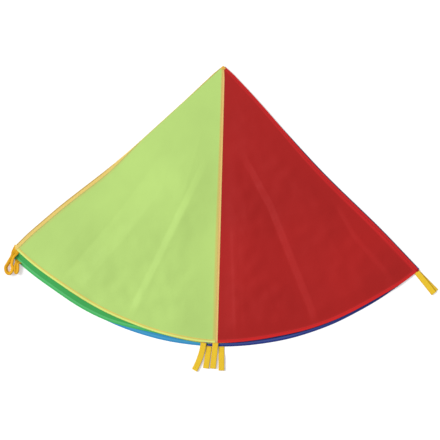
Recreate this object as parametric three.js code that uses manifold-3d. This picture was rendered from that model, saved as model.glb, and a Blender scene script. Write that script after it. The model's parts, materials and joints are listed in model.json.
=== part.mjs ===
// Play parachute, folded into a quarter and laid flat: eight gores, seam tapes, handle loops and a crown patch.
// Millimetres, +Z up, floor at z = 0. The fold fans out from its tip towards -Y, its last fold is on the +X side.
import * as THREE from 'three';
import { mergeVertices } from 'three/addons/utils/BufferGeometryUtils.js';
import Module from 'manifold-3d';

const wasm = await Module();
wasm.setup();

// Canopy: angles are in degrees from -Y, positive towards +X
const canopyRadius = 1000;
const goreAngle = 45;
const clothThickness = 1.2;
const layerGap = 0.4;
const crownRadius = 15;
const fitGap = 0.4;

// Seams: the middle seam of each layer, bottom layer first, then the seams and folds on the left
const middleSeam = [-2, -1.3, -2.4, 0];
const limeSeam = -goreAngle - 2.2;
const cyanSeam = -goreAngle - 0.3;
const upperFold = { beyond: 0.7, kneeStart: 420, kneeEnd: 540 };
const lowerFoldAngle = cyanSeam - 1.3;
const foldSetback = 0.2;
const tapeWidth = 10;

// How far each gore's hem lies back from the full radius, at even steps from its left end to its right end
const slack = {
  cyan: [8, 5, 1, 0, 0],
  navy: [0, 0, 0, 1, -4],
  green: [-13, -1.5, 1, 19, 11],
  yellow: [11, 19, 15, 12, -3],
  amber: [16, 28, 28, 23, 12],
  purple: [12, 19, 15, 12, -2],
  lime: [14, 28.5, 29, 22, 13],
  red: [13, 18.5, 13.5, 10.5, -6],
};

// Creases pressed into the two upper gores: the radius and the angle at both ends
const creaseHeight = 1.2;
const creaseWidth = 36;
const limeCreases = [[[313, -33.5], [945, -35.8]], [[439, -9.5], [951, -18.3]]];
const redCreases = [[[351, 11.2], [937, 20.2]], [[757, 38.7], [954, 39.1]]];

// Handles
const strapWidth = 21;
const strapThickness = 0.8;
const loopReach = 92;
const loopHeight = 6;
const sewnLength = 16;
const openingLength = 26;
const strapPitch = 21.3;
const bunchOffset = -45;
const bunchTilt = [-6, -6.5, -4.5, 1.5];
const firstReach = 103;
const firstCurl = -22;
const pressedHeight = 2.6;
const pressedReach = 98;
const cornerInset = 12;
const cornerTilt = -3;
const rolledHeight = 9;
const rolledThickness = 8;
const wideLoop = { across: 17, along: 25, out: 62.2, aside: 38.8 };
const slimLoop = { across: 7, along: 20, out: 17.7, aside: 16.7 };
const slimmestHole = 3;
const neckWidth = 9;

// How finely the cloth and the straps are divided
const goreColumns = 16;
const goreRows = 12;
const plainRows = 1;
const strapStep = 8;
const roundSteps = 8;
const loopSteps = 32;
const weldLength = 1e-4;
const cutMargin = 1;

const colours = {
  lime: 0xb4d67a, red: 0xa52625, amber: 0xe8be5c, purple: 0x6f3f8f,
  green: 0x46b45f, yellow: 0xefcf3c, cyan: 0x3d98c6, navy: 0x2e3d80,
  tape: 0xe2b565, strap: 0xe6bf2f,
};

const layerPitch = clothThickness + layerGap;
const layerCount = middleSeam.length;
const stackHeight = layerCount * layerPitch - layerGap;
const tapeHalf = tapeWidth / 2;
const seamInset = tapeHalf + fitGap;
const crownEdge = crownRadius + fitGap;

const layerFloor = (layer) => layer * layerPitch;
const layerTop = (layer) => layerFloor(layer) + clothThickness;
const ray = (angle) => {
  const turn = THREE.MathUtils.degToRad(angle);
  return new THREE.Vector2(Math.sin(turn), -Math.cos(turn));
};
const across = (angle) => {
  const turn = THREE.MathUtils.degToRad(angle);
  return new THREE.Vector2(Math.cos(turn), Math.sin(turn));
};
const polar = (radius, angle) => ray(angle).multiplyScalar(radius);

const parachute = new THREE.Group();
parachute.name = 'play_parachute';

function place(name, geometry, colour) {
  const material = new THREE.MeshStandardMaterial({ color: colour, roughness: 0.7, metalness: 0 });
  const mesh = new THREE.Mesh(geometry, material);
  mesh.name = name;
  parachute.add(mesh);
}

// Booleans
function stripped(geometry) {
  geometry.deleteAttribute('normal');
  geometry.deleteAttribute('uv');
  return geometry;
}

function toSolid(geometry) {
  const merged = mergeVertices(stripped(geometry.clone()), weldLength);
  return new wasm.Manifold(new wasm.Mesh({
    numProp: 3,
    vertProperties: new Float32Array(merged.attributes.position.array),
    triVerts: new Uint32Array(merged.index.array),
  }));
}

function toGeometry(solid) {
  const mesh = solid.getMesh();
  const geometry = new THREE.BufferGeometry();
  geometry.setAttribute('position', new THREE.BufferAttribute(new Float32Array(mesh.vertProperties), 3));
  geometry.setIndex(new THREE.BufferAttribute(new Uint32Array(mesh.triVerts), 1));
  geometry.computeVertexNormals();
  return geometry;
}

function joined(...geometries) {
  return toGeometry(geometries.map(toSolid).reduce((whole, piece) => whole.add(piece)));
}

function slab(points, bottom, top) {
  const geometry = new THREE.ExtrudeGeometry(new THREE.Shape(points), {
    depth: top - bottom, bevelEnabled: false, steps: 1,
  });
  return geometry.translate(0, 0, bottom);
}

// Height of the creases at a point: each is a low ridge along a line between two places on the cloth
function creaseAt(point, creases) {
  let height = 0;
  for (const [start, end] of creases) {
    const a = polar(...start);
    const run = polar(...end).sub(a);
    const along = THREE.MathUtils.clamp(point.clone().sub(a).dot(run) / run.lengthSq(), 0, 1);
    const away = point.distanceTo(a.addScaledVector(run, along));
    height = Math.max(height, creaseHeight * Math.exp(-((away / creaseWidth) ** 2)));
  }
  return height;
}

// The place where two straight edges meet: each is a ray's angle and how far the edge lies from it
function meeting(angleA, offsetA, angleB, offsetB) {
  const a = across(angleA);
  const b = across(angleB);
  const det = a.x * b.y - a.y * b.x;
  return new THREE.Vector2((offsetA * b.y - offsetB * a.y) / det, (a.x * offsetB - b.x * offsetA) / det);
}

// How far, in radians, a fold's edge has moved out at a radius: it leaves the seam at a knee
function bulgeAt(radius, { beyond, kneeStart, kneeEnd }) {
  return THREE.MathUtils.degToRad(beyond) * THREE.MathUtils.smoothstep(radius, kneeStart, kneeEnd);
}

// How far a hem lies back at a share of the way from its left end to its right end
function hemBack(backs, share) {
  const line = new THREE.SplineCurve(backs.map((back, step) => new THREE.Vector2(step, back)));
  return line.getPoint(share).y;
}

// A gore lies between two rays, inset from each, and backs says how far its hem lies back
function gore({ layer, from, to, fromInset, toInset, backs, bulge, creases = [] }) {
  const tip = meeting(from, fromInset, to, -toInset);
  const first = from + THREE.MathUtils.radToDeg(Math.asin(fromInset / canopyRadius));
  const last = to - THREE.MathUtils.radToDeg(Math.asin(toInset / canopyRadius));
  const rows = creases.length || bulge ? goreRows : plainRows;
  const positions = [];
  for (const top of [false, true]) {
    for (let row = 0; row <= rows; row += 1) {
      for (let column = 0; column <= goreColumns; column += 1) {
        const s = column / goreColumns;
        const hem = polar(canopyRadius - hemBack(backs, s), THREE.MathUtils.lerp(first, last, s));
        const way = hem.clone().sub(tip).normalize();
        const lead = tip.dot(way);
        const start = Math.sqrt(lead ** 2 - tip.lengthSq() + crownEdge ** 2) - lead;
        const reach = THREE.MathUtils.lerp(start, hem.distanceTo(tip), row / rows);
        const point = tip.clone().addScaledVector(way, reach);
        if (bulge) point.rotateAround(new THREE.Vector2(), -bulgeAt(point.length(), bulge) * (1 - s));
        const z = top ? layerTop(layer) + creaseAt(point, creases) : layerFloor(layer);
        positions.push(point.x, point.y, z);
      }
    }
  }
  return gridSolid(positions, rows, goreColumns);
}

// Two grids of points, lower one first, closed round their edges
function gridSolid(positions, rows, columns) {
  const width = columns + 1;
  const upper = (rows + 1) * width;
  const index = [];
  const quad = (a, b, c, d) => index.push(a, b, c, a, c, d);
  for (let row = 0; row < rows; row += 1) {
    for (let column = 0; column < columns; column += 1) {
      const a = row * width + column;
      quad(a, a + 1, a + width + 1, a + width);
      quad(upper + a, upper + a + width, upper + a + width + 1, upper + a + 1);
    }
  }
  for (let column = 0; column < columns; column += 1) {
    const far = rows * width + column;
    quad(column, upper + column, upper + column + 1, column + 1);
    quad(far, far + 1, upper + far + 1, upper + far);
  }
  for (let row = 0; row < rows; row += 1) {
    const near = row * width;
    const far = near + columns;
    quad(near, near + width, upper + near + width, upper + near);
    quad(far, upper + far, upper + far + width, far + width);
  }
  const geometry = new THREE.BufferGeometry();
  geometry.setAttribute('position', new THREE.BufferAttribute(new Float32Array(positions), 3));
  geometry.setIndex(index);
  geometry.computeVertexNormals();
  return geometry;
}

// Cloth that turns over a left fold: a web down the fold line and a strip that runs back to the seam tape
function foldOver({ seam, fold, leafLayer, stripLayer, back, knee = 0 }) {
  const lean = Math.sin(THREE.MathUtils.degToRad(seam - fold));
  const start = Math.max((seamInset + clothThickness) / lean, knee);
  const end = canopyRadius - back;
  const corner = (radius, inset) => polar(radius, fold).addScaledVector(across(fold), foldSetback + inset);
  const toSeam = (radius) => radius * lean - seamInset - foldSetback;
  const low = Math.min(leafLayer, stripLayer);
  const high = Math.max(leafLayer, stripLayer);
  const web = [corner(start, 0), corner(end, 0), corner(end, clothThickness), corner(start, clothThickness)];
  const strip = [corner(start, 0), corner(end, 0), corner(end, toSeam(end)), corner(start, toSeam(start))];
  return [
    slab(web, layerFloor(low), layerTop(high)),
    slab(strip, layerFloor(stripLayer), layerTop(stripLayer)),
  ];
}

function seamTape(layer, angle, back) {
  const length = canopyRadius - back - crownEdge;
  const geometry = new THREE.BoxGeometry(tapeWidth, length, clothThickness);
  geometry.translate(0, -crownEdge - length / 2, layerFloor(layer) + clothThickness / 2);
  return geometry.rotateZ(THREE.MathUtils.degToRad(angle));
}

// The crown patch is a round patch over the tips, folded too: two leaves joined along the left fold
function crownHalf(lowLayer) {
  const leaf = new THREE.Shape();
  const start = -Math.PI / 2 - THREE.MathUtils.degToRad(goreAngle);
  leaf.moveTo(0, 0);
  leaf.absarc(0, 0, crownRadius, start, start + THREE.MathUtils.degToRad(2 * goreAngle), false);
  const options = { depth: clothThickness, bevelEnabled: false, curveSegments: roundSteps };
  const leaves = [lowLayer, lowLayer + 1].map((layer) => (
    new THREE.ExtrudeGeometry(leaf, options).translate(0, 0, layerFloor(layer))
  ));
  const edge = (radius, inset) => polar(radius, -goreAngle).addScaledVector(across(-goreAngle), inset);
  const bend = [edge(0, 0), edge(crownRadius, 0), edge(crownRadius - clothThickness, clothThickness),
    edge(clothThickness, clothThickness)];
  return joined(...leaves, slab(bend, layerFloor(lowLayer), layerTop(lowLayer + 1)));
}

// Outline of a loop seen from its side: sewn together at the root, open beyond it, round at the tip
function loopOutline({ reach, bottom, top, root, shrink }) {
  const middle = (bottom + top) / 2;
  const radius = (top - bottom) / 2 - shrink;
  const spread = sewnLength + openingLength;
  const bend = reach - (top - bottom) / 2;
  const lower = [];
  const steps = Math.ceil((bend - spread) / strapStep);
  for (let step = 0; step <= steps; step += 1) {
    lower.push(new THREE.Vector2(THREE.MathUtils.lerp(spread, bend, step / steps), bottom + shrink));
  }
  const round = [];
  for (let step = 1; step < roundSteps; step += 1) {
    const turn = -Math.PI / 2 + (Math.PI * step) / roundSteps;
    round.push(new THREE.Vector2(bend + radius * Math.cos(turn), middle + radius * Math.sin(turn)));
  }
  const upper = lower.map((point) => new THREE.Vector2(point.x, top - shrink)).reverse();
  const throat = shrink ? [new THREE.Vector2(sewnLength + shrink, root)] : [
    new THREE.Vector2(sewnLength, root + strapThickness),
    new THREE.Vector2(0, root + strapThickness),
    new THREE.Vector2(0, root - strapThickness),
    new THREE.Vector2(sewnLength, root - strapThickness),
  ];
  return [...lower, ...round, ...upper, ...throat];
}

// A strap loop lying flat, turned in plan from the ray that it starts along and curling towards its tip
function strapLoop({ angle, radius, offset, tilt, curl = 0, reach, bottom, top, root }) {
  const outline = new THREE.Shape(loopOutline({ reach, bottom, top, root, shrink: 0 }));
  outline.holes.push(new THREE.Path(loopOutline({ reach, bottom, top, root, shrink: strapThickness })));
  const geometry = new THREE.ExtrudeGeometry(outline, { depth: strapWidth, bevelEnabled: false, steps: 1 });
  const start = polar(radius + fitGap, angle).addScaledVector(across(angle), offset);
  const position = geometry.attributes.position;
  for (let i = 0; i < position.count; i += 1) {
    const out = position.getX(i);
    const side = strapWidth / 2 - position.getZ(i);
    const share = Math.max(out, 0) / reach;
    const heading = angle + tilt + curl * share;
    const chord = angle + tilt + (curl * share) / 2;
    const point = start.clone().add(polar(out, chord)).addScaledVector(across(heading), side);
    position.setXYZ(i, point.x, point.y, position.getY(i));
  }
  const turned = mergeVertices(stripped(geometry), weldLength);
  turned.computeVertexNormals();
  return turned;
}

// A strap that has rolled up edge to edge: an oval loop on a short neck that starts along the hem at the fold
function rolledLoop({ loop, angle, radius, inset, neckFloor }) {
  const root = polar(radius + fitGap, angle).addScaledVector(across(angle), inset);
  const centre = root.clone().addScaledVector(ray(angle), loop.out);
  centre.addScaledVector(across(angle), loop.aside);
  const oval = (shrink) => {
    const points = [];
    for (let step = 0; step < loopSteps; step += 1) {
      const turn = (2 * Math.PI * step) / loopSteps;
      const x = centre.x + (loop.across - shrink) * Math.cos(turn);
      const y = centre.y + (loop.along - shrink) * Math.sin(turn);
      points.push(new THREE.Vector2(x, y));
    }
    return points;
  };
  const shoulder = new THREE.Vector2(centre.x, centre.y + loop.along - rolledThickness / 2);
  const side = across(angle).multiplyScalar(neckWidth / 2);
  const neck = [root.clone().sub(side), shoulder.clone().sub(side), shoulder.clone().add(side),
    root.clone().add(side)];
  const body = toSolid(slab(oval(0), 0, rolledHeight)).add(toSolid(slab(neck, neckFloor, rolledHeight)));
  const wall = Math.min(rolledThickness, loop.across - slimmestHole / 2);
  return toGeometry(body.subtract(toSolid(slab(oval(wall), -cutMargin, rolledHeight + cutMargin))));
}

// Gores, bottom layer first
const [cyanNavySeam, greenYellowSeam, amberPurpleSeam, limeRedSeam] = middleSeam;
const foldReach = -tapeHalf;

place('panel_cyan', gore({
  layer: 0, from: cyanSeam, to: cyanNavySeam, fromInset: seamInset, toInset: seamInset, backs: slack.cyan,
}), colours.cyan);
place('panel_navy', gore({
  layer: 0, from: cyanNavySeam, to: goreAngle, fromInset: seamInset, toInset: foldReach, backs: slack.navy,
}), colours.navy);
place('panel_green', joined(
  gore({
    layer: 1, from: lowerFoldAngle, to: greenYellowSeam, fromInset: 0, toInset: seamInset, backs: slack.green,
  }),
  ...foldOver({ seam: cyanSeam, fold: lowerFoldAngle, leafLayer: 1, stripLayer: 0, back: slack.cyan[0] }),
), colours.green);
place('panel_yellow', gore({
  layer: 1, from: greenYellowSeam, to: goreAngle, fromInset: seamInset, toInset: seamInset,
  backs: slack.yellow,
}), colours.yellow);
place('panel_amber', joined(
  gore({
    layer: 2, from: limeSeam, to: amberPurpleSeam, fromInset: 0, toInset: seamInset, backs: slack.amber,
    bulge: upperFold,
  }),
  ...foldOver({
    seam: limeSeam, fold: limeSeam - upperFold.beyond, leafLayer: 2, stripLayer: 3, back: slack.amber[0],
    knee: upperFold.kneeEnd,
  }),
), colours.amber);
place('panel_purple', gore({
  layer: 2, from: amberPurpleSeam, to: goreAngle, fromInset: seamInset, toInset: foldReach,
  backs: slack.purple,
}), colours.purple);
place('panel_lime', gore({
  layer: 3, from: limeSeam, to: limeRedSeam, fromInset: seamInset, toInset: seamInset, backs: slack.lime,
  creases: limeCreases,
}), colours.lime);
place('panel_red', gore({
  layer: 3, from: limeRedSeam, to: goreAngle, fromInset: seamInset, toInset: seamInset, backs: slack.red,
  creases: redCreases,
}), colours.red);

// Seam tapes
place('tape_cyan_navy', seamTape(0, cyanNavySeam, slack.navy[0]), colours.tape);
place('tape_green_yellow', seamTape(1, greenYellowSeam, slack.green.at(-1)), colours.tape);
place('tape_amber_purple', seamTape(2, amberPurpleSeam, slack.purple[0]), colours.tape);
place('tape_lime_red', seamTape(3, limeRedSeam, slack.lime.at(-1)), colours.tape);
place('tape_cyan_green', seamTape(0, cyanSeam, slack.cyan[0]), colours.tape);
place('tape_lime_amber', seamTape(3, limeSeam, slack.lime[0]), colours.tape);
place('tape_purple_yellow', seamTape(1, goreAngle, slack.yellow.at(-1)), colours.tape);
place('tape_red_navy', seamTape(3, goreAngle, slack.red.at(-1)), colours.red);

// Crown patch, whose two halves part along the right fold
place('crown_patch_lower', crownHalf(0), colours.tape);
place('crown_patch_upper', crownHalf(2), colours.tape);

// Handles in the bunch at the middle of the hem, left to right
const openLoop = { bottom: 0, top: loopHeight };
const rootHeight = (layer) => Math.max(layerFloor(layer) + clothThickness / 2, strapThickness);
const bunch = [
  { name: 'handle_amber_purple', layer: 2, back: slack.purple[0], reach: firstReach, curl: firstCurl },
  { name: 'handle_green_yellow', layer: 1, back: slack.green.at(-1) },
  { name: 'handle_lime_red', layer: 3, back: slack.lime.at(-1) },
  { name: 'handle_cyan_navy', layer: 0, back: slack.navy[0] },
];
bunch.forEach(({ name, layer, back, reach = loopReach, curl }, order) => {
  place(name, strapLoop({
    ...openLoop, angle: limeRedSeam, radius: canopyRadius - back, offset: bunchOffset + order * strapPitch,
    tilt: bunchTilt[order], curl, reach, root: rootHeight(layer),
  }), colours.strap);
});

// Handles pressed flat on each other at the right corner
const cornerPair = [
  { name: 'handle_purple_yellow', bottom: (stackHeight - layerGap) / 2 - pressedHeight },
  { name: 'handle_red_navy', bottom: (stackHeight + layerGap) / 2 },
];
for (const { name, bottom } of cornerPair) {
  place(name, strapLoop({
    angle: goreAngle, radius: canopyRadius - slack.red.at(-1), offset: tapeHalf - cornerInset,
    tilt: cornerTilt, reach: pressedReach, bottom, top: bottom + pressedHeight,
    root: bottom + pressedHeight / 2,
  }), colours.strap);
}

// Rolled handles at the left corner
place('handle_lime_amber', rolledLoop({
  loop: wideLoop, angle: limeSeam, radius: canopyRadius - slack.lime[0], inset: 0, neckFloor: layerFloor(2),
}), colours.strap);
const cyanShare = (cyanSeam - lowerFoldAngle) / (greenYellowSeam - lowerFoldAngle);
place('handle_cyan_green', rolledLoop({
  loop: slimLoop, angle: cyanSeam, radius: canopyRadius - hemBack(slack.green, cyanShare),
  inset: neckWidth / 2 + fitGap, neckFloor: 0,
}), colours.strap);

// The origin is under the middle of the whole fold, on the floor
const box = new THREE.Box3().setFromObject(parachute);
const middle = box.getCenter(new THREE.Vector3());
parachute.position.set(-middle.x, -middle.y, -box.min.z);

export default parachute;
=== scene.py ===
# Play parachute folded into a quarter and laid flat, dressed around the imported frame.
# Metres. Angles are in degrees at the apex, from -Y, positive towards +X.
import json
import math

import bmesh
import bpy
from mathutils import Matrix, Vector, noise

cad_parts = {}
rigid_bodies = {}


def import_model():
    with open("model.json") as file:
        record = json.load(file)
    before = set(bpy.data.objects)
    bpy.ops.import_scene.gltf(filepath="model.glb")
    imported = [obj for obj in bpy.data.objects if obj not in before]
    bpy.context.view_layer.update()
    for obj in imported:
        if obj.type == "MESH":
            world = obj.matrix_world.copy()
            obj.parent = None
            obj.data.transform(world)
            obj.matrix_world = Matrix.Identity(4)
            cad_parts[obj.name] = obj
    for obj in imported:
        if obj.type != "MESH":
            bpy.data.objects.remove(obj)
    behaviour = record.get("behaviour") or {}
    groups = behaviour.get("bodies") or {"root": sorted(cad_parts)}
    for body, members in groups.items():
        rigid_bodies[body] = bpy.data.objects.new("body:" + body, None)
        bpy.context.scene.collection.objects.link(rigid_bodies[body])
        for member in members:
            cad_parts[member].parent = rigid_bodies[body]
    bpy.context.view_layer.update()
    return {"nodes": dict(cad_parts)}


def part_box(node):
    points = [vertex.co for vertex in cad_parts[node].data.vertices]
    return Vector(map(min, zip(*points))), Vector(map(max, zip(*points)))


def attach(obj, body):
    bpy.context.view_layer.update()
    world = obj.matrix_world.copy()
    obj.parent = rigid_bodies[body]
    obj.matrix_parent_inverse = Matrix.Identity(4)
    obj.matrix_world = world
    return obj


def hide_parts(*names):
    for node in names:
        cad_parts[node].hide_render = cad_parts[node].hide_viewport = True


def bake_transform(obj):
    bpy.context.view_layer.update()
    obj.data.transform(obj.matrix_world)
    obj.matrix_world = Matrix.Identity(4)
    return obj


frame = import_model()
print("frame loaded,", len(frame["nodes"]), "nodes")

# The whole fold. Where a row has four values, they are for its layers from the bottom up.
canopy = {
    "radius": 1.0,
    "clothThickness": 0.0009,     # at the hem, where the cloth is doubled
    "singleShare": 0.55,          # single cloth as a share of that
    "body": ("lower_half", "lower_half", "upper_half", "upper_half"),
    "clothLevel": (0.00075, 0.00195, 0.00405, 0.00515),
    "tapeLevel": (0.00028, 0.00242, 0.00358, 0.00562),
    "rightSide": (-1, 1, -1, 1),  # which way the right side of the cloth faces
    "reliefSide": (1, 1, -1, 1),  # which way its creases stand out
    "crownCut": 0.006,
    "hemBand": 0.0115,
    "foldOut": 0.0055,
    "rightFold": 45,
    "hollowDepth": 0.0118,        # the last fold runs a little hollow
    "hollowSpan": (0.10, 0.87),
    "foldKnee": (0.10, 0.45),     # nearer the apex the last fold lies under its tape
}
crownLow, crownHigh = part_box("crown_patch_upper")
apex = Vector(((crownLow.x + crownHigh.x) / 2, crownHigh.y, 0))


def ray(angle):
    turn = math.radians(angle)
    return Vector((math.sin(turn), -math.cos(turn), 0))


def across(angle):
    turn = math.radians(angle)
    return Vector((math.cos(turn), math.sin(turn), 0))


def lerp(a, b, share):
    return a + (b - a) * share


def ramp(low, high, value):
    share = min(max((value - low) / (high - low), 0), 1)
    return share * share * (3 - 2 * share)


def between(a, b, c, d, t):
    # the part from b to c of a smooth line through four values or points
    bend = (2 * a - 5 * b + 4 * c - d) * t * t + (3 * b - a - 3 * c + d) * t ** 3
    return 0.5 * (2 * b + (c - a) * t + bend)


def spot(radius, angle, level=0.0, aside=0.0):
    return apex + ray(angle) * radius + across(angle) * aside + Vector((0, 0, level))


# The left side: where the two folds lie, and how far the lime seam lies inside the upper one
leftSide = {
    "upperFold": -46.3, "upperOut": 1.6, "knee": (0.40, 0.80), "upperBack": 0.3, "corner": (0.9, 1.0),
    "lowerFold": -45.9, "lowerOut": 0.6, "lowerKnee": (0.65, 0.95),
    "seamUnder": 0.006, "seamInside": 0.0088, "seamKnee": (0.36, 0.60), "seamMost": 40,
}


def upperFold(radius):
    # this fold leaves the straight edge at a knee and comes back a little at the corner
    out = leftSide["upperOut"] * ramp(*leftSide["knee"], radius)
    return leftSide["upperFold"] - out + leftSide["upperBack"] * ramp(*leftSide["corner"], radius)


def lowerFold(radius):
    return leftSide["lowerFold"] - leftSide["lowerOut"] * ramp(*leftSide["lowerKnee"], radius)


def limeSeam(radius):
    # this seam is rolled under the fold near the apex, then lies on top beside it
    knee = ramp(*leftSide["seamKnee"], radius)
    inside = lerp(-leftSide["seamUnder"], leftSide["seamInside"], knee)
    return upperFold(radius) + max(math.degrees(inside / radius), -leftSide["seamMost"])


def limeEdge(radius):
    return max(limeSeam(radius), upperFold(radius))


def angleAt(edge, radius):
    return edge(radius) if callable(edge) else edge


def hollowAt(radius):
    start, end = canopy["hollowSpan"]
    share = min(max((radius - start) / (end - start), 0), 1)
    return across(canopy["rightFold"]) * (-canopy["hollowDepth"] * math.sin(math.pi * share) ** 2)


def stationAt(values, share):
    # a smooth line through values at even steps
    spans = len(values) - 1
    span = min(int(share * spans), spans - 1)
    near = (values[min(max(span + step, 0), spans)] for step in (-1, 0, 1, 2))
    return between(*near, share * spans - span)


def tint(red, green, blue):
    # screen tones from 0 to 255 as linear light
    def toLinear(value):
        value = min(value / 255, 1)
        return value / 12.92 if value <= 0.04045 else ((value + 0.055) / 1.055) ** 2.4
    return (toLinear(red), toLinear(green), toLinear(blue), 1.0)


# Materials
white = (1, 1, 1, 1)
waveLength = math.pi / 10    # of the wave texture at a scale of one
clothLook = {
    "specular": 0.18, "sheen": 0.02, "sheenRoughness": 0.4, "roughness": (0.45, 0.62),
    "mottleScale": 3.0, "mottleDetail": 3.0, "mottleSpan": (0.25, 0.75), "mottle": 0.09,
    "puckerScale": 28.0, "puckerDetail": 2.0, "pucker": 0.27, "puckerDepth": 0.002,
    "weavePitch": 0.0007, "weaveTone": 0.04, "weave": 0.15, "weaveDepth": 0.0002,
}
wovenLook = {
    "specular": 0.2, "sheen": 0.05, "sheenRoughness": 0.4, "roughness": 0.7,
    "fadeScale": 40.0, "fadeDetail": 2.0, "leastTone": 0.5, "weave": 0.4,
}
threadLook = {
    "specular": 0.3, "sheen": 0.05, "sheenRoughness": 0.4, "roughness": 0.55,
    "twistScale": 900.0, "darkShare": 0.8,
}


def link(tree, output, target):
    tree.links.new(output, target)


def addNode(tree, kind, **values):
    node = tree.nodes.new(kind)
    for key, value in values.items():
        if key in node.inputs:
            node.inputs[key].default_value = value
        else:
            setattr(node, key, value)
    return node


def remap(tree, source, low, high, toLow, toHigh):
    node = addNode(tree, "ShaderNodeMapRange")
    for socket, value in zip(("From Min", "From Max", "To Min", "To Max"), (low, high, toLow, toHigh)):
        node.inputs[socket].default_value = value
    link(tree, source, node.inputs["Value"])
    return node.outputs["Result"]


def around(amount):
    return 1 - amount, 1 + amount


def multiply(tree, first, second):
    node = addNode(tree, "ShaderNodeMath", operation="MULTIPLY")
    link(tree, first, node.inputs[0])
    link(tree, second, node.inputs[1])
    return node.outputs[0]


def mark(tree, name):
    return addNode(tree, "ShaderNodeAttribute", attribute_name=name).outputs["Fac"]


def noiseHeight(tree, coordinates, scale, detail):
    node = addNode(tree, "ShaderNodeTexNoise", Scale=scale, Detail=detail)
    link(tree, coordinates, node.inputs["Vector"])
    return node.outputs["Fac"]


def weaveHeight(tree, coordinates, pitch):
    threads = []
    for direction in ("X", "Y"):
        wave = addNode(tree, "ShaderNodeTexWave", bands_direction=direction, Scale=waveLength / pitch)
        link(tree, coordinates, wave.inputs["Vector"])
        threads.append(wave.outputs["Fac"])
    return multiply(tree, *threads)


def bumpFrom(tree, height, strength, depth, before=None):
    bump = addNode(tree, "ShaderNodeBump", Strength=strength, Distance=depth)
    link(tree, height, bump.inputs["Height"])
    if before is not None:
        link(tree, before, bump.inputs["Normal"])
    return bump.outputs["Normal"]


def mixColour(tree, factor, first, second, blend="MIX"):
    mix = addNode(tree, "ShaderNodeMix", data_type="RGBA", blend_type=blend)
    for source, socket in ((factor, mix.inputs[0]), (first, mix.inputs[6]), (second, mix.inputs[7])):
        if isinstance(source, bpy.types.NodeSocket):
            link(tree, source, socket)
        else:
            socket.default_value = source
    return mix.outputs[2]


def startMaterial(name, look):
    material = bpy.data.materials.new(name)
    material.use_nodes = True
    tree = material.node_tree
    shader = tree.nodes["Principled BSDF"]
    shader.inputs["Specular IOR Level"].default_value = look["specular"]
    shader.inputs["Sheen Weight"].default_value = look["sheen"]
    shader.inputs["Sheen Roughness"].default_value = look["sheenRoughness"]
    return material, tree, shader


def clothMaterial(name, spec):
    look = clothLook
    material, tree, shader = startMaterial(name, look)
    place = addNode(tree, "ShaderNodeTexCoord")
    # the allowance mark paints the seam allowance, and painted shade where the cloth turns round a fold
    colour = mixColour(tree, mark(tree, "allowanceAndShade"), tint(*spec["base"]), tint(*spec["allowanceAndShade"]))
    # the band mark is a half on the inner part of the hem and one on the outer part
    band = mark(tree, "band")
    colour = mixColour(tree, remap(tree, band, 0, 0.5, 0, 1), colour, tint(*spec["bandInner"]))
    colour = mixColour(tree, remap(tree, band, 0.5, 1, 0, 1), colour, tint(*spec["band"]))
    mottle = noiseHeight(tree, place.outputs["Object"], look["mottleScale"], look["mottleDetail"])
    shade = remap(tree, mottle, *look["mottleSpan"], *around(look["mottle"]))
    weave = weaveHeight(tree, place.outputs["UV"], look["weavePitch"])
    tone = multiply(tree, shade, remap(tree, weave, 0, 1, *around(look["weaveTone"])))
    link(tree, mixColour(tree, 1.0, colour, tone, "MULTIPLY"), shader.inputs["Base Color"])
    roughness = remap(tree, mottle, *look["mottleSpan"], *look["roughness"])
    link(tree, roughness, shader.inputs["Roughness"])
    pucker = noiseHeight(tree, place.outputs["Object"], look["puckerScale"], look["puckerDetail"])
    puckered = bumpFrom(tree, pucker, look["pucker"], look["puckerDepth"])
    woven = bumpFrom(tree, weave, look["weave"], look["weaveDepth"], puckered)
    link(tree, woven, shader.inputs["Normal"])
    return material


def wovenMaterial(name, base, shade, edge, pitch, depth):
    # the edge tone shows where the piece carries the allowance mark, which on straps is painted shade
    # along both edges and on tapes their shaded side
    look = wovenLook
    material, tree, shader = startMaterial(name, look)
    place = addNode(tree, "ShaderNodeTexCoord")
    weave = weaveHeight(tree, place.outputs["UV"], pitch)
    fade = noiseHeight(tree, place.outputs["Object"], look["fadeScale"], look["fadeDetail"])
    worn = mixColour(tree, fade, tint(*base), tint(*shade))
    worn = mixColour(tree, remap(tree, weave, 0, 1, look["leastTone"], 1), tint(*shade), worn)
    colour = mixColour(tree, mark(tree, "allowanceAndShade"), worn, tint(*edge))
    link(tree, colour, shader.inputs["Base Color"])
    shader.inputs["Roughness"].default_value = look["roughness"]
    link(tree, bumpFrom(tree, weave, look["weave"], depth), shader.inputs["Normal"])
    return material


def threadMaterial(name, base):
    look = threadLook
    material, tree, shader = startMaterial(name, look)
    place = addNode(tree, "ShaderNodeTexCoord")
    twist = addNode(tree, "ShaderNodeTexWave", bands_direction="DIAGONAL", Scale=look["twistScale"])
    link(tree, place.outputs["Object"], twist.inputs["Vector"])
    dark = tuple(part * look["darkShare"] for part in base)
    colour = mixColour(tree, twist.outputs["Fac"], tint(*dark), tint(*base))
    link(tree, colour, shader.inputs["Base Color"])
    shader.inputs["Roughness"].default_value = look["roughness"]
    return material


# Building blocks
sheetMarks = {"band": 2.0, "allowanceAndShade": 0.5}    # with the share of doubled cloth that each brings
stitch = {"length": 0.0032, "pitch": 0.0046, "width": 0.0007, "height": 0.0005}


def finishPiece(name, bm, material):
    mesh = bpy.data.meshes.new(name)
    bm.to_mesh(mesh)
    bm.free()
    mesh.materials.append(material)
    for polygon in mesh.polygons:
        polygon.use_smooth = True
    piece = bpy.data.objects.new(name, mesh)
    bpy.context.scene.collection.objects.link(piece)
    return piece


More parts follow.
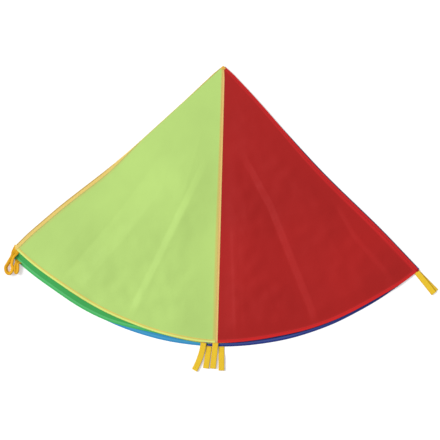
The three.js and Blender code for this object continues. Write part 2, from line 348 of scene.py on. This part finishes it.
def sheetGrid(columns, rows, place):
    # place gives a point, its spot on the flat cloth, and its marks: the hem band, and the seam
    # allowance together with painted shade
    bm = bmesh.new()
    flatLayer = bm.loops.layers.uv.new("flat")
    markLayers = [bm.verts.layers.float.new(name) for name in sheetMarks]
    doubledLayer = bm.verts.layers.deform.verify()
    bmesh.ops.create_grid(bm, x_segments=columns, y_segments=rows, size=1)
    flatSpots = {}
    for vert in bm.verts:
        column = round((vert.co.x + 1) / 2 * columns)
        row = round((vert.co.y + 1) / 2 * rows)
        vert.co, flatSpots[vert], marks = place(column, row)
        for layer, value in zip(markLayers, marks):
            vert[layer] = value
        doubled = max(share * value for share, value in zip(sheetMarks.values(), marks))
        vert[doubledLayer][0] = min(doubled, 1)
    for face in bm.faces:
        for loop in face.loops:
            loop[flatLayer].uv = flatSpots[loop.vert]
    bm.normal_update()
    bm.faces.ensure_lookup_table()
    if bm.faces[0].normal.z < 0:
        bmesh.ops.reverse_faces(bm, faces=bm.faces[:])
    return bm


def thicken(piece, thickness, singleShare=1.0):
    piece.vertex_groups.new(name="doubled")
    solidify = piece.modifiers.new("thickness", "SOLIDIFY")
    solidify.thickness = thickness
    solidify.offset = 0
    solidify.vertex_group = "doubled"
    solidify.thickness_vertex_group = singleShare


def stitchRow(bm, points, lift):
    # one stitch on each stretch of the line, lying along it
    shape = Matrix.Diagonal((stitch["length"] / 2, stitch["width"] / 2, stitch["height"] / 2, 1))
    for first, second in zip(points, points[1:]):
        turn = (second - first).to_track_quat("X", "Z").to_matrix().to_4x4()
        centre = Matrix.Translation((first + second) / 2 + Vector((0, 0, lift)))
        bmesh.ops.create_icosphere(bm, subdivisions=1, radius=1, matrix=centre @ turn @ shape)


def finishStitches(name, bm, material, body):
    piece = finishPiece(name, bm, material)
    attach(piece, body)


# Gores: span runs from the first seam to the last seam or fold, and slack tells in millimetres how
# far the hem lies back at even steps. A gore whose fold opens is baked where it lies.
# The allowance colours are the seam allowance near the seams, and painted shade along the turn of each
# fold.
goreTable = {
    "cyan": {
        "layer": 0, "span": (-45.3, -2.0), "slack": (8, 5, 1, 0, 0), "seed": 56,
        "base": (56, 146, 196), "allowanceAndShade": (50, 134, 184),
        "bandInner": (70, 160, 206), "band": (56, 146, 200),
    },
    "navy": {
        "layer": 0, "span": (-2.0, 45), "slack": (0, 0, 0, 1, -4), "seed": 36,
        "base": (36, 50, 116), "allowanceAndShade": (40, 26, 66),
        "bandInner": (58, 76, 146), "band": (32, 48, 122),
        "fold": {"out": canopy["foldOut"], "toLayer": 3, "seam": 45, "opens": True},
    },
    "green": {
        "layer": 1, "span": (-1.3, lowerFold), "slack": (8.5, 18, 1, -1.5, -13), "seed": 66,
        "base": (66, 172, 88), "allowanceAndShade": (56, 156, 80),
        "bandInner": (92, 194, 116), "band": (74, 184, 100),
        "fold": {"out": 0.0, "toLayer": 0, "seam": -45.3, "opens": False},
    },
    "yellow": {
        "layer": 1, "span": (-1.3, 45), "slack": (11, 19, 15, 12, -3), "seed": 238,
        "base": (238, 206, 62), "allowanceAndShade": (228, 192, 56),
        "bandInner": (250, 222, 96), "band": (244, 214, 70),
    },
    "amber": {
        "layer": 2, "span": (-2.4, upperFold), "slack": (12, 23, 28, 28, 16), "seed": 232,
        "base": (232, 202, 108), "allowanceAndShade": (186, 150, 76),
        "bandInner": (240, 214, 124), "band": (236, 204, 104),
        "fold": {"out": 0.0, "toLayer": 3, "seam": limeEdge, "opens": False},
    },
    "purple": {
        "layer": 2, "span": (-2.4, 45), "slack": (12, 19, 15, 12, -2), "seed": 112,
        "base": (112, 62, 142), "allowanceAndShade": (100, 54, 128),
        "bandInner": (136, 84, 168), "band": (124, 70, 156),
        "fold": {"out": canopy["foldOut"], "toLayer": 1, "seam": 45, "opens": True},
    },
    "lime": {
        "layer": 3, "span": (limeEdge, 0), "slack": (14, 28.5, 29, 22, 13), "seed": 186,
        "base": (186, 220, 122), "allowanceAndShade": (204, 196, 106),
        "bandInner": (222, 206, 104), "band": (226, 238, 128),
        "firstSeam": limeSeam, "allowanceSides": (0.35, 1), "calm": (0.30, 0.16),
        "creases": (
            {
                "line": ((0.26, -32.0), (0.69, -34.4), (1.0, -35.9)),
                "height": -0.0066, "reach": (0.06, 0.075),
            },
            {"line": ((0.30, -4.4), (0.99, -18.6)), "height": 0.0040, "reach": (0.024, 0.10)},
            {"line": ((0.925, -35.0), (0.962, -25.6)), "height": -0.0020, "reach": (0.016, 0.018)},
        ),
    },
    "red": {
        "layer": 3, "span": (0, 45), "slack": (13, 18.5, 13.5, 10.5, -6), "seed": 167,
        "base": (167, 27, 25), "allowanceAndShade": (204, 34, 36),
        "bandInner": (196, 30, 32), "band": (208, 32, 32),
        "allowanceSides": (0.12, 0.7), "calm": (0.10, 0.10),
        "creases": (
            {
                "line": ((0.30, 9.4), (0.526, 18.6), (1.02, 20.8)),
                "height": -0.0074, "reach": (0.11, 0.024),
            },
            {
                "line": ((0.60, 40.6), (0.76, 38.4), (1.0, 39.4)),
                "height": -0.0050, "reach": (0.07, 0.016),
            },
            {"line": ((0.55, 4.7), (0.99, 4.1)), "height": 0.0018, "reach": (0.010, 0.020)},
        ),
    },
}
sheetShape = {
    "columns": 60, "rowStep": 0.02, "fineColumns": 160, "fineRowStep": 0.0062,
    "turnSteps": 8, "stripColumns": 4,
    "bandRows": ((0.96, 0.5), (0.58, 0.5), (0.46, 1.0), (0.08, 1.0), (0.0, 1.0)),    # (back, mark)
    "hemWaver": 0.0012, "waverScale": 7.0, "waverLayer": 3.1,
    "puff": 0.0074, "puffFrom": (0.08, 0.55), "ripple": 0.0012, "rippleScale": 5.5,
    "crumple": 0.0016, "crumpleScale": 23.0, "creaseEnd": 0.16,
    "seamGap": 0.004, "seamCalm": 0.05, "hemCalm": 0.07, "hemRelief": 0.35,
    "relief": 0.012, "hiddenRelief": 0.0003,
    "allowanceWidth": 0.014, "allowanceSoft": (0.7, 1.1),
    "allowanceTip": 0.55, "allowanceTipSpan": (0.1, 0.7),
    "foldShadeSpan": (0.0, 0.5), "foldSlip": 0.12,
}


def creaseAt(point, crease):
    # height that a ridge adds, or a valley takes away, with a flat flank on its left and its right
    corners = [spot(*corner) for corner in crease["line"]]
    runs = [second - first for first, second in zip(corners, corners[1:])]
    whole = sum(run.length for run in runs)
    passed = 0.0
    nearest = None
    for start, run in zip(corners, runs):
        along = min(max((point - start).dot(run) / run.length_squared, 0), 1)
        gap = point - (start + run * along)
        if nearest is None or gap.length < nearest[0]:
            nearest = (gap.length, run.cross(gap).z > 0, (passed + run.length * along) / whole)
        passed += run.length
    distance, toRight, share = nearest
    end = sheetShape["creaseEnd"]
    taper = ramp(0, end, share) * ramp(0, end, 1 - share)
    return crease["height"] * taper * max(1 - distance / crease["reach"][1 if toRight else 0], 0)


def columnPath(spec):
    # from the first seam across the flat, round the fold, and back along a strip to the next seam
    columns = sheetShape["fineColumns" if "creases" in spec else "columns"]
    path = [("flat", order / columns) for order in range(columns + 1)]
    if "fold" in spec:
        turns, strips = sheetShape["turnSteps"], sheetShape["stripColumns"]
        path += [("turn", math.pi * order / turns) for order in range(1, turns + 1)]
        path += [("strip", order / strips) for order in range(1, strips + 1)]
    return path


def hemRadius(spec, share):
    back = stationAt(spec["slack"], share) / 1000
    along = share * sheetShape["waverScale"]
    waver = noise.noise(Vector((along, spec["layer"] * sheetShape["waverLayer"], spec["seed"])))
    return canopy["radius"] - back + sheetShape["hemWaver"] * waver * math.sin(math.pi * share)


def reliefAt(spec, point, share, radius, toSeams):
    # how far the flat part stands out of its layer, calmed towards the seams and the hem
    creases = spec.get("creases", ())
    swell = noise.noise(point * sheetShape["rippleScale"] + Vector((0, 0, spec["layer"])))
    height = sheetShape["ripple"] * (0.5 + 0.5 * swell)
    height += sum(creaseAt(point, crease) for crease in creases)
    limit = sheetShape["hiddenRelief"]
    if creases:
        crumple = noise.noise(point * sheetShape["crumpleScale"]) * (1 + swell)
        puff = sheetShape["puff"] * ramp(*sheetShape["puffFrom"], radius)
        height += puff + sheetShape["crumple"] * crumple
        limit = sheetShape["relief"]
    calm = 1.0
    for toSeam, width in zip(toSeams, spec.get("calm", (sheetShape["seamCalm"],) * 2)):
        calm = min(calm, ramp(sheetShape["seamGap"], width, toSeam))
    toHem = hemRadius(spec, share) - radius
    calm *= lerp(sheetShape["hemRelief"], 1, ramp(0, sheetShape["hemCalm"], toHem))
    return min(max(height, 0) * calm, limit)


def clothPoint(spec, stage, amount, radius):
    # a point of the cloth with its distances to the two seams
    first, last = (angleAt(edge, radius) for edge in spec["span"])
    level = canopy["clothLevel"][spec["layer"]]
    fold = spec.get("fold", {"out": 0.0})
    share = amount if stage == "flat" else 1.0
    angle = lerp(first, last, share)
    aside = fold["out"] * share * ramp(*canopy["foldKnee"], radius)
    if stage != "flat":
        far = canopy["clothLevel"][fold["toLayer"]]
        half = (far - level) / 2
        if stage == "turn":
            aside += math.copysign(abs(half), last) * math.sin(amount)
            level = (level + far) / 2 - half * math.cos(amount)
        else:
            angle = lerp(last, angleAt(fold["seam"], radius), amount)
            aside *= 1 - amount
            level = far
    point = apex + ray(angle) * radius + across(last) * aside
    if last == canopy["rightFold"]:
        point += hollowAt(radius) * share
    toSeams = []
    for seam in (angleAt(spec.get("firstSeam", first), radius), last):
        toSeams.append(radius * math.sin(math.radians(min(abs(angle - seam), 90))))
    if stage == "flat" and share < 1:
        level += canopy["reliefSide"][spec["layer"]] * reliefAt(spec, point, share, radius, toSeams)
    point.z = level
    return point, toSeams


def allowanceAndShadeAt(spec, stage, amount, radius, toSeams):
    # painted shade along the turn of a fold, fading over its strip; near the seams, the seam allowance,
    # which narrows towards the tip
    if stage == "turn":
        return 1.0
    if stage == "strip":
        return 1 - ramp(*sheetShape["foldShadeSpan"], amount)
    opened = ramp(*sheetShape["allowanceTipSpan"], radius)
    width = sheetShape["allowanceWidth"] * lerp(sheetShape["allowanceTip"], 1, opened)
    allowanceAndShade = 0.0
    for toSeam, strength in zip(toSeams, spec.get("allowanceSides", (1, 1))):
        near = 1 - ramp(*sheetShape["allowanceSoft"], toSeam / width)
        allowanceAndShade = max(allowanceAndShade, strength * near)
    return allowanceAndShade


def makeGore(name, spec):
    path = columnPath(spec)
    rowStep = sheetShape["fineRowStep" if "creases" in spec else "rowStep"]
    bulkRows = round(canopy["radius"] / rowStep)
    bandRows = sheetShape["bandRows"]
    band = canopy["hemBand"]
    middle = sum(angleAt(edge, canopy["radius"]) for edge in spec["span"]) / 2

    def place(column, row):
        stage, amount = path[column]
        hem = hemRadius(spec, amount if stage == "flat" else 1.0)
        inBand = 0.0
        if row <= bulkRows:
            radius = lerp(canopy["crownCut"], hem - band, row / bulkRows)
        else:
            back, inBand = bandRows[row - bulkRows - 1]
            radius = hem - back * band
        point, toSeams = clothPoint(spec, stage, amount, radius)
        fromApex = point - apex
        flat = (fromApex.dot(across(middle)), fromApex.dot(ray(middle)))
        return point, flat, (inBand, allowanceAndShadeAt(spec, stage, amount, radius, toSeams))

    grid = sheetGrid(len(path) - 1, bulkRows + len(bandRows), place)
    piece = finishPiece("gore_" + name, grid, clothMaterial(name + "Cloth", spec))
    thicken(piece, canopy["clothThickness"], canopy["singleShare"])
    fold = spec.get("fold", {"opens": False})
    if fold["opens"]:
        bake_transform(piece)
    else:
        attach(piece, canopy["body"][spec["layer"]])
    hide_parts("panel_" + name)
    return piece


gores = {name: makeGore(name, spec) for name, spec in goreTable.items()}
print("gores made:", len(gores))

# Hem stitching: one row along the inner edge of each hem, on the right side of the cloth
hemSew = {"fromBand": 0.82, "span": (0.012, 0.988), "lift": 0.00045, "toneGain": 1.06, "toneLift": 8}
for name, spec in goreTable.items():
    first, last = (angleAt(edge, canopy["radius"]) for edge in spec["span"])
    steps = round(math.radians(abs(last - first)) * canopy["radius"] / stitch["pitch"])
    line = []
    for order in range(steps + 1):
        share = lerp(*hemSew["span"], order / steps)
        radius = hemRadius(spec, share) - canopy["hemBand"] * hemSew["fromBand"]
        line.append(clothPoint(spec, "flat", share, radius)[0])
    rowBm = bmesh.new()
    stitchRow(rowBm, line, hemSew["lift"] * canopy["rightSide"][spec["layer"]])
    tone = tuple(min(part * hemSew["toneGain"] + hemSew["toneLift"], 255) for part in spec["bandInner"])
    thread = threadMaterial(name + "Thread", tone)
    body = canopy["body"][spec["layer"]]
    finishStitches("hem_stitches_" + name, rowBm, thread, body)
print("hems stitched:", len(goreTable))

# Seam tapes: angle of the seam, layer it lies on, and how far its hem end lies back
tapeTable = {
    "cyan_navy": {"layer": 0, "angle": -2.0, "back": 0.0, "look": "plain"},
    "green_yellow": {"layer": 1, "angle": -1.3, "back": 0.011, "look": "plain"},
    "amber_purple": {"layer": 2, "angle": -2.4, "back": 0.012, "look": "plain"},
    "lime_red": {"layer": 3, "angle": 0, "back": 0.013, "look": "plain"},
    "cyan_green": {"layer": 0, "angle": -45.3, "back": 0.008, "look": "plain"},
    "lime_amber": {"layer": 3, "angle": limeSeam, "back": 0.014, "look": "edge"},
    "purple_yellow": {"layer": 1, "angle": 45, "back": -0.003, "look": "plain"},
    "red_navy": {"layer": 3, "angle": 45, "back": -0.006, "look": "red"},
}
tapeShape = {
    "width": 0.010, "thickness": 0.0004, "dome": 0.0003, "domePower": 4,
    "columns": 10, "rowStep": 0.012,
    "startShare": 1.5, "overhang": 0.001, "tip": 0.4, "tipSpan": (0, 0.05),
    "sewn": 0.78, "sewnLift": 0.00038, "shadedSide": -0.3, "shadedSoft": 0.2,
}
tapeWeave = {"pitch": 0.0008, "depth": 0.0003}
tapeThread = threadMaterial("tapeThread", (250, 222, 160))
plainTones = {"base": (244, 206, 130), "shade": (228, 186, 108), "edge": (208, 180, 102)}
edgeTones = {"base": (240, 212, 122), "shade": (234, 204, 112), "edge": (236, 206, 114)}
redTones = {"base": (208, 34, 34), "shade": (192, 28, 30), "edge": (180, 26, 28)}
tapeLooks = {
    "plain": {
        "weave": wovenMaterial("tapeWeave", **plainTones, **tapeWeave),
        "thread": tapeThread, "slot": "seam_tape",
    },
    "edge": {
        "weave": wovenMaterial("edgeTapeWeave", **edgeTones, **tapeWeave),
        "thread": tapeThread, "slot": "seam_tape",
    },
    "red": {
        "weave": wovenMaterial("redTapeWeave", **redTones, **tapeWeave),
        "thread": threadMaterial("redTapeThread", (222, 64, 58)), "slot": "red_cloth",
    },
}


def tapePoint(spec, radius, aside, rise):
    level = canopy["tapeLevel"][spec["layer"]] + rise
    seam = angleAt(spec["angle"], radius)
    if seam == canopy["rightFold"]:
        return spot(radius, seam, level, aside) + hollowAt(radius)
    if not callable(spec["angle"]):
        return spot(radius, seam, level, aside)
    # this tape rolls round the upper left fold where the seam lies on it
    edge = upperFold(radius)
    beyond = -(radius * math.sin(math.radians(seam - edge)) + aside)
    if beyond <= 0:
        return spot(radius, edge, level, -beyond)
    low = canopy["tapeLevel"][spec["layer"] - 1] - rise
    half = (level - low) / 2
    turn = min(beyond / half, math.pi)
    rolled = beyond - turn * half - half * math.sin(turn)
    return spot(radius, edge, low + half + half * math.cos(turn), rolled)


def tapeTaper(radius):
    # the tapes narrow where they run together under the crown patch
    return lerp(tapeShape["tip"], 1, ramp(*tapeShape["tipSpan"], radius))


def makeTape(name, spec):
    look = tapeLooks[spec["look"]]
    body = canopy["body"][spec["layer"]]
    side = canopy["rightSide"][spec["layer"]]
    start = canopy["crownCut"] * tapeShape["startShare"]
    end = canopy["radius"] - spec["back"] + tapeShape["overhang"]
    rows = round((end - start) / tapeShape["rowStep"])
    soft = tapeShape["shadedSoft"]

    def place(column, row):
        share = column / tapeShape["columns"] * 2 - 1
        radius = lerp(start, end, row / rows)
        aside = share * tapeShape["width"] / 2 * tapeTaper(radius)
        rise = tapeShape["dome"] * (1 - share ** tapeShape["domePower"]) * side / 2
        shaded = 1 - ramp(-soft, soft, share - tapeShape["shadedSide"])
        return tapePoint(spec, radius, aside, rise), (aside, radius), (0.0, shaded)

    grid = sheetGrid(tapeShape["columns"], rows, place)
    piece = finishPiece("tape_piece_" + name, grid, look["weave"])
    thicken(piece, tapeShape["thickness"])
    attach(piece, body)
    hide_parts("tape_" + name)
    steps = round((end - start) / stitch["pitch"])
    rowBm = bmesh.new()
    for share in (-tapeShape["sewn"], tapeShape["sewn"]):
        aside = share * tapeShape["width"] / 2
        radii = [lerp(start, end - stitch["pitch"], order / steps) for order in range(steps + 1)]
        line = [tapePoint(spec, radius, aside * tapeTaper(radius), 0) for radius in radii]
        stitchRow(rowBm, line, tapeShape["sewnLift"] * side)
    finishStitches("tape_stitches_" + name, rowBm, look["thread"], body)
    return piece


tapes = {name: makeTape(name, spec) for name, spec in tapeTable.items()}
print("seam tapes made and sewn:", len(tapes))

# Crown patch: each half is a quarter leaf on two layers, joined round the left fold
crownShape = {
    "radius": 0.0138, "inner": 0.0008, "edge": 45, "edgeGap": 1, "thickness": 0.0004,
    "columns": 20, "turnSteps": 6, "rows": 6,
    "sewn": 0.0112, "sewnGap": 4, "stitches": 5, "sewnLift": 0.0003,
}
crownTable = {
    "lower": {"levels": (0.0002, 0.00275), "body": "lower_half"},
    "upper": {"levels": (0.00325, 0.0060), "body": "upper_half"},
}
crownTones = {"base": (240, 192, 84), "shade": (222, 168, 62), "edge": (214, 160, 60)}
crownWeave = wovenMaterial("crownWeave", **crownTones, **tapeWeave)


def makeCrown(name, spec):
    low, high = spec["levels"]
    edge = crownShape["edge"]
    openEdge = edge - crownShape["edgeGap"]
    columns = crownShape["columns"]
    turns = crownShape["turnSteps"]
    half = (high - low) / 2
    path = [(lerp(openEdge, -edge, order / columns), 0.0, low) for order in range(columns + 1)]
    for order in range(1, turns):
        turn = math.pi * order / turns
        path.append((-edge, -half * math.sin(turn), (low + high) / 2 - half * math.cos(turn)))
    path += [(lerp(-edge, openEdge, order / columns), 0.0, high) for order in range(columns + 1)]

    def place(column, row):
        angle, aside, level = path[column]
        radius = lerp(crownShape["inner"], crownShape["radius"], row / crownShape["rows"])
        point = apex + ray(angle) * radius + across(-edge) * aside + Vector((0, 0, level))
        return point, (point.x, point.y), (0.0, 0.0)

    grid = sheetGrid(len(path) - 1, crownShape["rows"], place)
    piece = finishPiece("crown_piece_" + name, grid, crownWeave)
    thicken(piece, crownShape["thickness"])
    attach(piece, spec["body"])
    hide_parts("crown_patch_" + name)
    sewnEdge = edge - crownShape["sewnGap"]
    steps = crownShape["stitches"]
    angles = [lerp(-sewnEdge, sewnEdge, order / steps) for order in range(steps + 1)]
    ringBm = bmesh.new()
    ring = [spot(crownShape["sewn"], angle, high) for angle in angles]
    stitchRow(ringBm, ring, crownShape["sewnLift"])
    finishStitches("crown_stitches_" + name, ringBm, tapeThread, spec["body"])
    return piece


crowns = {name: makeCrown(name, spec) for name, spec in crownTable.items()}
print("crown patch halves made:", len(crowns))

# Handles of flat webbing: a loop sewn shut at its root, lying flat, turned in plan by tilt and curl
strap = {
    "width": 0.021, "thickness": 0.0008, "pressed": 0.95, "edgeShade": (0.7, 1),
    "columns": 8, "runSteps": 7, "tipSteps": 10,
    "sewn": 0.016, "opening": 0.026, "tuck": 0.001, "fitGap": 0.0004,
    "bunchFirst": -0.045, "bunchPitch": 0.0213, "cornerAside": -0.0058,
    "tackOut": (0.0016, 0.0032), "tackShare": 0.8, "tackStitches": 5, "tackLift": 0.0001,
}
strapWeave = {"pitch": 0.0013, "depth": 0.0005}
# the edge tones are painted shade along both edges of the webbing
strapTones = {"base": (244, 208, 54), "shade": (234, 192, 42), "edge": (214, 166, 32)}
deepTones = {"base": (246, 192, 36), "shade": (228, 164, 26), "edge": (196, 134, 16)}
webbing = wovenMaterial("webbing", **strapTones, **strapWeave)
deepWebbing = wovenMaterial("deepWebbing", **deepTones, **strapWeave)
webbingThread = threadMaterial("webbingThread", (250, 218, 96))
flatHandles = {
    "amber_purple": {
        "parent": "upper_half", "angle": 0, "back": 0.012, "order": 0, "tilt": -6, "curl": -22,
        "reach": 0.103, "bottom": 0.0, "top": 0.006, "root": 0.0038,
    },
    "green_yellow": {
        "parent": "lower_half", "angle": 0, "back": 0.0, "order": 1, "tilt": -7, "curl": 0,
        "reach": 0.079, "bottom": 0.0, "top": 0.006, "root": 0.0008, "shift": -0.0012,
    },
    "lime_red": {
        "parent": "upper_half", "angle": 0, "back": 0.013, "order": 2, "tilt": -4.5, "curl": 0,
        "reach": 0.092, "bottom": 0.0, "top": 0.006, "root": 0.0054,
    },
    "cyan_navy": {
        "parent": "lower_half", "angle": 0, "back": 0.0, "order": 3, "tilt": 1.5, "curl": 0,
        "reach": 0.085, "bottom": 0.0, "top": 0.006, "root": 0.0008,
    },
    "purple_yellow": {
        "parent": "lower_half", "angle": 45, "back": -0.006, "tilt": 1, "curl": 0,
        "reach": 0.098, "bottom": 0.0002, "top": 0.0028, "root": 0.0015,
    },
    "red_navy": {
        "parent": "upper_half", "angle": 45, "back": -0.006, "tilt": -4.8, "curl": 0,
        "reach": 0.098, "bottom": 0.0032, "top": 0.0058, "root": 0.0045,
    },
}


def loopProfile(spec):
    # the middle of the webbing seen from its side, as (out, level) from one sewn end to the other
    half = strap["thickness"] / 2
    radius = (spec["top"] - spec["bottom"]) / 2
    middle = (spec["top"] + spec["bottom"]) / 2
    spread = strap["sewn"] + strap["opening"]
    bend = spec["reach"] - radius
    steps = strap["runSteps"]

    def run(sewnLevel, openLevel):
        line = [(-strap["tuck"], sewnLevel), (strap["sewn"] / 2, sewnLevel)]
        for order in range(steps + 1):
            share = order / steps
            out = lerp(strap["sewn"], spread, share)
            line.append((out, lerp(sewnLevel, openLevel, ramp(0, 1, share))))
        for order in range(1, steps + 1):
            line.append((lerp(spread, bend, order / steps), openLevel))
        return line

    lower = run(spec["root"] - half, spec["bottom"] + half)
    upper = run(spec["root"] + half, spec["top"] - half)
    tip = []
    for order in range(1, strap["tipSteps"]):
        turn = math.pi * order / strap["tipSteps"] - math.pi / 2
        tip.append((bend + (radius - half) * math.cos(turn), middle + (radius - half) * math.sin(turn)))
    return lower + tip + upper[::-1]


def edgeShade(share):
    # share runs from -1 to 1 across the webbing, whose two edges get painted shade
    return ramp(*strap["edgeShade"], abs(share))


# the strap is baked in place where it lies
def finishStrap(name, grid, material, thickness):
    # the sewn end stays with the cloth, and the rest of the strap turns with its hinge
    piece = finishPiece("strap_" + name, grid, material)
    thicken(piece, thickness)
    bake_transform(piece)
    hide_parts("handle_" + name)
    return piece


def makeFlatHandle(name, spec):
    profile = loopProfile(spec)
    aside = strap["cornerAside"]
    if "order" in spec:
        aside = strap["bunchFirst"] + spec["order"] * strap["bunchPitch"] + spec.get("shift", 0)
    start = spot(canopy["radius"] - spec["back"] + strap["fitGap"], spec["angle"], aside=aside)
    lengths = [0.0]
    for (outA, levelA), (outB, levelB) in zip(profile, profile[1:]):
        lengths.append(lengths[-1] + math.hypot(outB - outA, levelB - levelA))

    def strapPoint(out, side, level):
        share = max(out, 0) / spec["reach"]
        heading = spec["angle"] + spec["tilt"] + spec["curl"] * share
        chord = spec["angle"] + spec["tilt"] + spec["curl"] * share / 2
        point = start + ray(chord) * out + across(heading) * side
        point.z = level
        return point

    def place(column, row):
        out, level = profile[row]
        share = column / strap["columns"] * 2 - 1
        side = share * strap["width"] / 2
        return strapPoint(out, side, level), (side, lengths[row]), (0.0, edgeShade(share))

    grid = sheetGrid(strap["columns"], len(profile) - 1, place)
    thickness = strap["thickness"] * strap["pressed"]
    piece = finishStrap(name, grid, webbing, thickness)
    tackBm = bmesh.new()
    level = spec["root"] + strap["thickness"]
    reach = strap["tackShare"] * strap["width"] / 2
    steps = strap["tackStitches"]
    sides = [lerp(-reach, reach, order / steps) for order in range(steps + 1)]
    for out in strap["tackOut"]:
        stitchRow(tackBm, [strapPoint(out, side, level) for side in sides], strap["tackLift"])
    finishStitches("tack_" + name, tackBm, webbingThread, spec["parent"])
    return piece


straps = {name: makeFlatHandle(name, spec) for name, spec in flatHandles.items()}

# Handles that have curled along their length and lie as small open loops at the left corner
curledHandles = {
    "lime_amber": {
        "parent": "upper_half", "fold": -47.2, "back": 0.026, "inset": 0.0,
        "out": 0.0742, "aside": 0.0388, "across": 0.0125, "along": 0.0185,
        "rootLevel": 0.0029, "looseLevel": 0.001,
    },
    "cyan_green": {
        "parent": "lower_half", "fold": -45.3, "back": 0.0039, "inset": 0.0049,
        "out": 0.0337, "aside": 0.0167, "across": 0.0052, "along": 0.016,
        "rootLevel": 0.00125, "looseLevel": 0.001,
    },
}
curl = {
    "turn": 150, "tilt": 48, "flatEnd": (0.09, 0.18), "flatTurn": 4, "samples": 60, "columns": 10,
    "endsAside": 0.003, "neckShare": 0.6, "neckTop": (0.3, 1.35),
    "loop": (
        (0.75, 0.95), (1.0, 0.2), (0.75, -0.66), (0.0, -1.0),
        (-0.75, -0.66), (-1.0, 0.2), (-0.45, 0.95),
    ),
}


def smoothPath(points, samples):
    # a smooth curve through the points
    closed = [points[0] * 2 - points[1]] + points + [points[-1] * 2 - points[-2]]
    spans = len(points) - 1
    path = []
    for order in range(samples + 1):
        place = order / samples * spans
        span = min(int(place), spans - 1)
        path.append(between(*closed[span:span + 4], place - span))
    return path


def makeCurledHandle(name, spec):
    fold = spec["fold"]
    root = spot(canopy["radius"] - spec["back"] + strap["fitGap"], fold, aside=spec["inset"])
    centre = root + ray(fold) * spec["out"] + across(fold) * spec["aside"]

    def loopSpot(x, y):
        return centre + Vector((spec["across"] * x, spec["along"] * y, 0))

    shift = across(fold) * curl["endsAside"]
    loop = [loopSpot(*corner) for corner in curl["loop"]]
    neck = lerp(root, loopSpot(*curl["neckTop"]), curl["neckShare"])
    corners = [root + shift, neck + shift] + loop + [neck - shift, root - shift]
    path = smoothPath(corners, curl["samples"])
    lengths = [0.0]
    for first, second in zip(path, path[1:]):
        lengths.append(lengths[-1] + (second - first).length)

    def place(column, row):
        share = lengths[row] / lengths[-1]
        ahead = (path[min(row + 1, len(path) - 1)] - path[max(row - 1, 0)]).normalized()
        outward = Vector((ahead.y, -ahead.x, 0))
        rolled = ramp(*curl["flatEnd"], share) * ramp(*curl["flatEnd"], 1 - share)
        spread = math.radians(lerp(curl["flatTurn"], curl["turn"], rolled))
        radius = strap["width"] / spread
        angle = (column / curl["columns"] - 0.5) * spread
        alongChord = radius * math.sin(angle)
        bulge = radius * (math.cos(angle) - math.cos(spread / 2))
        tilt = math.radians(curl["tilt"]) * rolled
        sideways = -alongChord * math.cos(tilt) + bulge * math.sin(tilt)
        upward = alongChord * math.sin(tilt) + bulge * math.cos(tilt)
        halfHeight = radius * math.sin(spread / 2) * math.sin(tilt)
        point = path[row] + outward * sideways
        point.z = lerp(spec["rootLevel"], spec["looseLevel"], rolled) + halfHeight + upward
        side = column / curl["columns"] * 2 - 1
        return point, (side * strap["width"] / 2, lengths[row]), (0.0, edgeShade(side))

    grid = sheetGrid(curl["columns"], curl["samples"], place)
    return finishStrap(name, grid, deepWebbing, strap["thickness"])


for name, spec in curledHandles.items():
    straps[name] = makeCurledHandle(name, spec)
print("handles made:", len(straps))

print("sheets declared:", len(gores) + len(crowns))


def seenByEye(tree):
    # one for rays that the camera sees, also by way of a gloss or through something clear
    path = addNode(tree, "ShaderNodeLightPath")
    seen = path.outputs["Is Camera Ray"]
    for kind in ("Is Glossy Ray", "Is Transmission Ray"):
        most = addNode(tree, "ShaderNodeMath", operation="MAXIMUM")
        link(tree, seen, most.inputs[0])
        link(tree, path.outputs[kind], most.inputs[1])
        seen = most.outputs[0]
    return seen


# Pale floor, white to the eye, that keeps the shadow
floor = {
    "size": 60.0, "level": -0.0004, "tone": (244, 244, 244), "whitening": 0.28,
    "roughness": 0.9, "specular": 0.1,
}
floorBm = bmesh.new()
bmesh.ops.create_grid(floorBm, x_segments=1, y_segments=1, size=floor["size"] / 2)
bmesh.ops.translate(floorBm, verts=floorBm.verts, vec=(0, 0, floor["level"]))
floorMaterial = bpy.data.materials.new("paleFloor")
floorMaterial.use_nodes = True
floorTree = floorMaterial.node_tree
floorShader = floorTree.nodes["Principled BSDF"]
floorShader.inputs["Base Color"].default_value = tint(*floor["tone"])
floorShader.inputs["Roughness"].default_value = floor["roughness"]
floorShader.inputs["Specular IOR Level"].default_value = floor["specular"]
floorShader.inputs["Emission Color"].default_value = white
whitening = remap(floorTree, seenByEye(floorTree), 0, 1, 0, floor["whitening"])
link(floorTree, whitening, floorShader.inputs["Emission Strength"])
floorPiece = finishPiece("floor", floorBm, floorMaterial)
print("floor laid")

# Plain soft light, mostly from the left and a little from the apex
light = {"world": 0.5, "sun": 2.3, "sunSpread": 30, "sunTurn": (48, 0, 250)}
world = bpy.data.worlds.new("softWorld")
world.use_nodes = True
worldTree = world.node_tree
background = worldTree.nodes["Background"]
background.inputs["Color"].default_value = white
worldStrength = remap(worldTree, seenByEye(worldTree), 0, 1, light["world"], 1)
link(worldTree, worldStrength, background.inputs["Strength"])
bpy.context.scene.world = world
sunData = bpy.data.lights.new("softSun", "SUN")
sunData.energy = light["sun"]
sunData.angle = math.radians(light["sunSpread"])
sun = bpy.data.objects.new("softSun", sunData)
sun.rotation_euler = [math.radians(turn) for turn in light["sunTurn"]]
bpy.context.scene.collection.objects.link(sun)

# Camera straight above, turned a little as the photograph is
shot = {"x": -0.0081, "y": -0.0027, "height": 4.0, "turn": 1.5, "viewWidth": 1.5686, "sensor": 36.0}
cameraData = bpy.data.cameras.new("shot")
cameraData.sensor_width = shot["sensor"]
cameraData.sensor_fit = "HORIZONTAL"
cameraData.lens = shot["sensor"] * shot["height"] / shot["viewWidth"]
camera = bpy.data.objects.new("shot", cameraData)
camera.location = (shot["x"], shot["y"], shot["height"])
camera.rotation_euler = (0, 0, math.radians(shot["turn"]))
bpy.context.scene.collection.objects.link(camera)
bpy.context.scene.camera = camera
bpy.context.scene.view_settings.view_transform = "Standard"
print("light and camera set")
